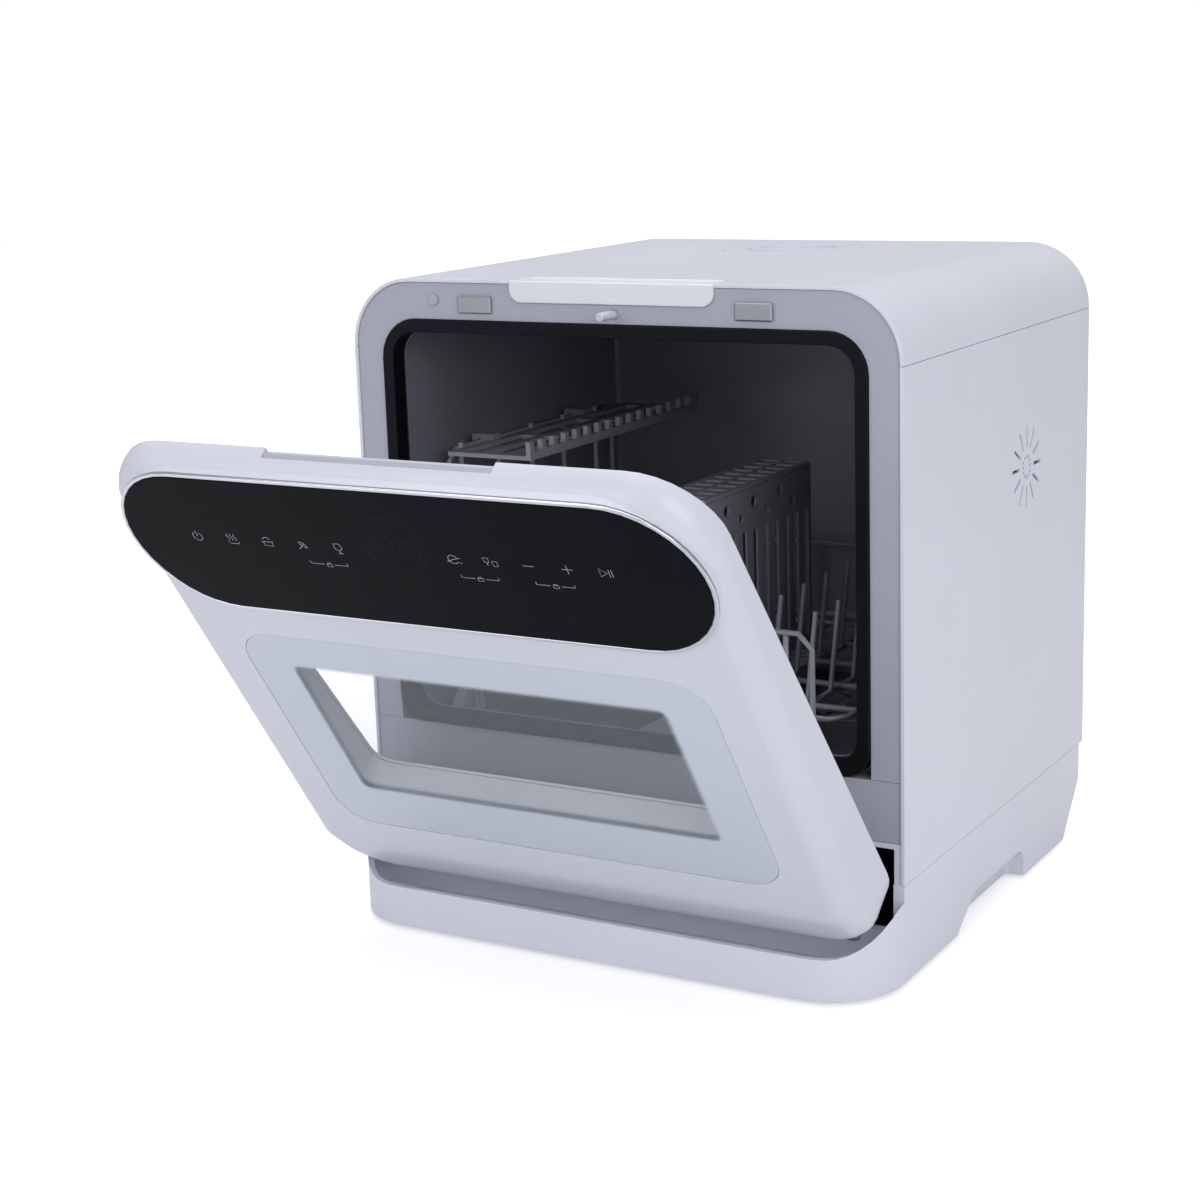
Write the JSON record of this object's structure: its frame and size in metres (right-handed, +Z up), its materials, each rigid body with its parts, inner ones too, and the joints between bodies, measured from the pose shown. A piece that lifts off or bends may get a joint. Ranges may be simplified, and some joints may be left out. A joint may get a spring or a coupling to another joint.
{
  "type": "countertop dishwasher",
  "caption": "Box-shaped countertop dishwasher with a drop-down windowed door, a black touch panel, a sliding wire rack, a spray arm and a filler cap on top.",
  "frame": {"origin": "on the supporting plane under the feet, at the middle of the footprint with the door partly open", "axes": "+Z up; the door faces -Y; +X is to the right of someone facing the door"},
  "size_m": [0.42, 0.6558, 0.462],
  "materials": {
    "white_plastic": "smooth satin",
    "grey_frame": "smooth satin",
    "dark_tub": "smooth, softly reflecting",
    "black_rubber": "matt",
    "panel_glass": "black printed on the back, glossy",
    "window_glass": "clear with a pale printed border",
    "bright_trim": "polished",
    "steel": "plain",
    "coated_wire": "dark grey coating",
    "dark_plastic": "smooth",
    "pale_plastic": "smooth",
    "circuit_board": "green board",
    "tank_plastic": "milky",
    "motor_housing": "dark housing"
  },
  "bodies": {
    "cabinet": {"base_pan": "white_plastic", "front_left_foot": "black_rubber", "front_right_foot": "black_rubber", "rear_left_foot": "black_rubber", "rear_right_foot": "black_rubber", "left_side_panel": "white_plastic", "right_side_panel": "white_plastic", "top_cover": "white_plastic", "back_panel": "pale_plastic", "front_frame": "grey_frame", "frame_sill": "grey_frame", "door_gasket": "black_rubber", "handle_cup": "white_plastic", "left_door_magnet": "steel", "right_door_magnet": "steel", "frame_plug": "grey_frame", "tub": "dark_tub", "left_hinge_bracket": "steel", "right_hinge_bracket": "steel", "spray_riser": "pale_plastic", "wash_pump": "motor_housing", "filter_plate": "steel", "filter_cup": "pale_plastic", "sump": "dark_plastic", "drain_pump": "motor_housing", "heater": "steel", "water_tank": "tank_plastic", "filler_neck": "tank_plastic", "fan_housing": "dark_plastic", "power_board": "circuit_board", "inlet_valve": "pale_plastic", "drain_spigot": "dark_plastic", "cord_gland": "black_rubber"},
    "door": {"door_outer_panel": "white_plastic", "control_glass": "panel_glass", "panel_trim_ring": "bright_trim", "touch_board": "circuit_board", "window_outer_glass": "window_glass", "window_frame": "pale_plastic", "door_inner_liner": "pale_plastic", "window_inner_glass": "window_glass", "door_grip_strip": "grey_frame", "left_hinge_arm": "steel", "right_hinge_arm": "steel"},
    "rack": {"dish_rack": "coated_wire", "rack_left_fence": "coated_wire", "rack_right_rail": "coated_wire", "cutlery_basket": "dark_plastic"},
    "shelf": {"cup_shelf": "dark_plastic"},
    "lid": {"basket_lid": "dark_plastic"},
    "spray": {"spray_arm": "pale_plastic", "spray_arm_nut": "pale_plastic"},
    "seal": {"cap_seal": "black_rubber"},
    "cap": {"filler_cap": "white_plastic"},
    "release": {"door_release_pin": "pale_plastic"},
    "fan": {"fan_rotor": "pale_plastic"},
    "front_left_wheel": {"front_left_rack_wheel": "pale_plastic"},
    "front_right_wheel": {"front_right_rack_wheel": "pale_plastic"},
    "rear_left_wheel": {"rear_left_rack_wheel": "pale_plastic"},
    "rear_right_wheel": {"rear_right_rack_wheel": "pale_plastic"}
  },
  "joints": [
    {"name": "door_hinge", "type": "hinge", "parent": "cabinet", "child": "door", "pos_m": [0, -0.07516, 0.047], "axis": [1, 0, 0], "range_deg": [-39, 51]},
    {"name": "rack_slide", "type": "slide", "parent": "cabinet", "child": "rack", "axis": [0, -1, 0], "range_m": [0, 0.024]},
    {"name": "cup_shelf_fold", "type": "hinge", "parent": "rack", "child": "shelf", "pos_m": [-0.1626, -0.01256, 0.334], "axis": [0, -1, 0], "range_deg": [0, 80]},
    {"name": "basket_lid_hinge", "type": "hinge", "parent": "rack", "child": "lid", "pos_m": [0.008, -0.00656, 0.3087], "axis": [0, -1, 0], "range_deg": [0, 95]},
    {"name": "spray_arm_spin", "type": "hinge", "parent": "cabinet", "child": "spray", "pos_m": [0, 0.12519, 0.1305], "axis": [0, 0, 1], "continuous": true},
    {"name": "cap_lift", "type": "slide", "parent": "cabinet", "child": "seal", "axis": [0, 0, 1], "range_m": [0, 0.03]},
    {"name": "cap_twist", "type": "hinge", "parent": "seal", "child": "cap", "pos_m": [0, 0.24244, 0.4588], "axis": [0, 0, 1], "range_deg": [0, 90]},
    {"name": "release_pin_slide", "type": "slide", "parent": "cabinet", "child": "release", "axis": [0, 1, 0], "range_m": [0, 0.0175]},
    {"name": "fan_spin", "type": "hinge", "parent": "cabinet", "child": "fan", "pos_m": [0.1949, 0.18544, 0.313], "axis": [1, 0, 0], "continuous": true},
    {"name": "front_left_wheel_spin", "type": "hinge", "parent": "rack", "child": "front_left_wheel", "pos_m": [-0.168, 0.01944, 0.1358], "axis": [1, 0, 0], "range_deg": [-2, 80]},
    {"name": "front_right_wheel_spin", "type": "hinge", "parent": "rack", "child": "front_right_wheel", "pos_m": [0.168, 0.01944, 0.1358], "axis": [1, 0, 0], "range_deg": [-2, 80]},
    {"name": "rear_left_wheel_spin", "type": "hinge", "parent": "rack", "child": "rear_left_wheel", "pos_m": [-0.168, 0.22744, 0.1358], "axis": [1, 0, 0], "range_deg": [-2, 80]},
    {"name": "rear_right_wheel_spin", "type": "hinge", "parent": "rack", "child": "rear_right_wheel", "pos_m": [0.168, 0.22744, 0.1358], "axis": [1, 0, 0], "range_deg": [-2, 80]}
  ],
  "couplings": [
    {"joint": "front_left_wheel_spin", "follows": "rack_slide", "rad_per_m": 57.143},
    {"joint": "front_right_wheel_spin", "follows": "rack_slide", "rad_per_m": 57.143},
    {"joint": "rear_left_wheel_spin", "follows": "rack_slide", "rad_per_m": 57.143},
    {"joint": "rear_right_wheel_spin", "follows": "rack_slide", "rad_per_m": 57.143}
  ]
}
